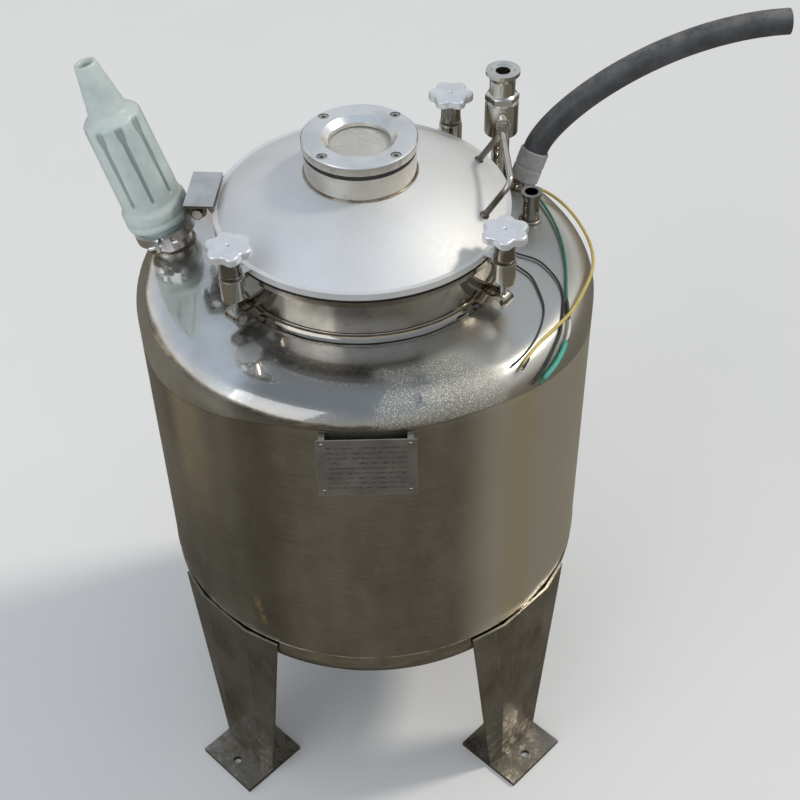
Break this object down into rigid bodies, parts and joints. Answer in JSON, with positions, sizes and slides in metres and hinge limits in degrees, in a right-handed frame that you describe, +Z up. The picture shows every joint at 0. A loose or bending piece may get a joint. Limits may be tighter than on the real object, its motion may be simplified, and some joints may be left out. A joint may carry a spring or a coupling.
{
  "type": "insulated liquid nitrogen vessel",
  "caption": "Insulated stainless tank on folded legs with a hinged domed cover, sight glass, swing-bolt star knobs, vent capsule, ball valve, hose and sensor wires.",
  "frame": {"origin": "on the tank's axis at floor level, centre of the four anchor holes", "axes": "+Z up along the tank's axis, -Y is the front with the nameplate, +X is the side with the hose and wires"},
  "size_m": [1.0068, 0.6829, 1.2181],
  "materials": {
    "shell_band": "brushed round the tank, warm satin",
    "polished_head": "mirror polished, weathered and dusty",
    "inner_steel": "pickled, matt",
    "cover_steel": "fine satin brushed",
    "polished_steel": "polished",
    "cast_knob": "polished casting",
    "leg_sheet": "folded sheet, polished, stained",
    "fastener": "bright, slightly worn",
    "insulation": "powder and film filling",
    "dark_seal": "matt",
    "seat_plastic": "matt",
    "glass": "clear, dusty",
    "nameplate": "satin, faint printed rows",
    "vent_plastic": "pale, slightly translucent",
    "filter": "pleated",
    "gland": "matt, ringed",
    "hose": "dusty rubber",
    "yellow": "soft sheath",
    "green": "soft sheath",
    "dark_wire": "soft sheath"
  },
  "bodies": {
    "tank": {"outer_shell": "shell_band", "top_head": "polished_head", "bottom_head": "polished_head", "inner_vessel": "inner_steel", "insulation": "insulation", "manway_neck": "polished_steel", "manway_gasket": "dark_seal", "clamp_ears": "polished_steel", "pivot_pins": "fastener", "hinge_bracket": "polished_steel", "hinge_pin": "fastener", "foot_plates": "leg_sheet", "nameplate": "nameplate", "nameplate_bracket": "leg_sheet", "nameplate_rivets": "fastener", "vent_nozzle": "polished_steel", "vent_gasket": "dark_seal", "vent_clamp": "fastener", "vent_capsule": "vent_plastic", "vent_filter_element": "filter", "valve_nozzle": "polished_steel", "dip_tube": "inner_steel", "valve_body": "polished_steel", "valve_seats": "seat_plastic", "valve_ferrule": "polished_steel", "probe_socket": "polished_steel", "gland_socket": "polished_steel", "gland_body": "gland", "black_hose": "hose", "yellow_wire": "yellow", "green_wire": "green", "sensor_wires": "dark_wire", "drain_nozzle": "polished_steel", "leg_front_left": "leg_sheet", "leg_front_right": "leg_sheet", "leg_back_left": "leg_sheet", "leg_back_right": "leg_sheet"},
    "cover": {"cover_dome": "cover_steel", "sight_boss": "polished_steel", "sight_gaskets": "dark_seal", "sight_glass": "glass", "sight_flange": "polished_steel", "sight_screws": "fastener", "cover_sleeves": "polished_steel", "hinge_arm": "polished_steel", "lift_handle": "polished_steel"},
    "washer_front_left": {"knob_washer_front_left": "fastener"},
    "knob_front_left": {"star_knob_front_left": "cast_knob"},
    "bolt_front_left": {"swing_bolt_front_left": "fastener"},
    "washer_front_right": {"knob_washer_front_right": "fastener"},
    "knob_front_right": {"star_knob_front_right": "cast_knob"},
    "bolt_front_right": {"swing_bolt_front_right": "fastener"},
    "washer_back_right": {"knob_washer_back_right": "fastener"},
    "knob_back_right": {"star_knob_back_right": "cast_knob"},
    "bolt_back_right": {"swing_bolt_back_right": "fastener"},
    "valve_spindle": {"valve_ball": "polished_steel", "valve_stem": "fastener", "valve_stop_plate": "polished_steel", "valve_stem_nut": "fastener"},
    "drain_cap": {"drain_cap": "polished_steel"}
  },
  "joints": [
    {"name": "cover_hinge", "type": "hinge", "parent": "tank", "child": "cover", "pos_m": [-0.22813, 0.01996, 1.015], "axis": [-0.0872, -0.9962, 0], "range_deg": [0, 70]},
    {"name": "knob_lift_front_left", "type": "slide", "parent": "cover", "child": "washer_front_left", "axis": [0, 0, 1], "range_m": [0, 0.01225]},
    {"name": "knob_turn_front_left", "type": "hinge", "parent": "washer_front_left", "child": "knob_front_left", "pos_m": [-0.1712, -0.16533, 1.03], "axis": [0, 0, 1], "range_deg": [0, 2520]},
    {"name": "bolt_swing_front_left", "type": "hinge", "parent": "tank", "child": "bolt_front_left", "pos_m": [-0.1712, -0.16533, 0.955], "axis": [0.6947, -0.7193, 0], "range_deg": [-0.7, 0.7]},
    {"name": "knob_lift_front_right", "type": "slide", "parent": "cover", "child": "washer_front_right", "axis": [0, 0, 1], "range_m": [0, 0.01225]},
    {"name": "knob_turn_front_right", "type": "hinge", "parent": "washer_front_right", "child": "knob_front_right", "pos_m": [0.19008, -0.14323, 1.03], "axis": [0, 0, 1], "range_deg": [0, 2520]},
    {"name": "bolt_swing_front_right", "type": "hinge", "parent": "tank", "child": "bolt_front_right", "pos_m": [0.19008, -0.14323, 0.955], "axis": [0.6018, 0.7986, 0], "range_deg": [-0.7, 0.7]},
    {"name": "knob_lift_back_right", "type": "slide", "parent": "cover", "child": "washer_back_right", "axis": [0, 0, 1], "range_m": [0, 0.01225]},
    {"name": "knob_turn_back_right", "type": "hinge", "parent": "washer_back_right", "child": "knob_back_right", "pos_m": [0.13309, 0.19731, 1.03], "axis": [0, 0, 1], "range_deg": [0, 2520]},
    {"name": "bolt_swing_back_right", "type": "hinge", "parent": "tank", "child": "bolt_back_right", "pos_m": [0.13309, 0.19731, 0.955], "axis": [-0.829, 0.5592, 0], "range_deg": [-0.7, 0.7]},
    {"name": "valve_stem_turn", "type": "hinge", "parent": "tank", "child": "valve_spindle", "pos_m": [0.208, 0.184, 1.044], "axis": [0, -1, 0], "range_deg": [0, 90]},
    {"name": "drain_cap_turn", "type": "hinge", "parent": "tank", "child": "drain_cap", "pos_m": [0, 0, 0.25], "axis": [0, 0, 1], "range_deg": [0, 1080]}
  ],
  "couplings": [
    {"joint": "knob_lift_front_left", "follows": "knob_turn_front_left", "m_per_rad": 0.00027852},
    {"joint": "knob_lift_front_right", "follows": "knob_turn_front_right", "m_per_rad": 0.00027852},
    {"joint": "knob_lift_back_right", "follows": "knob_turn_back_right", "m_per_rad": 0.00027852}
  ]
}
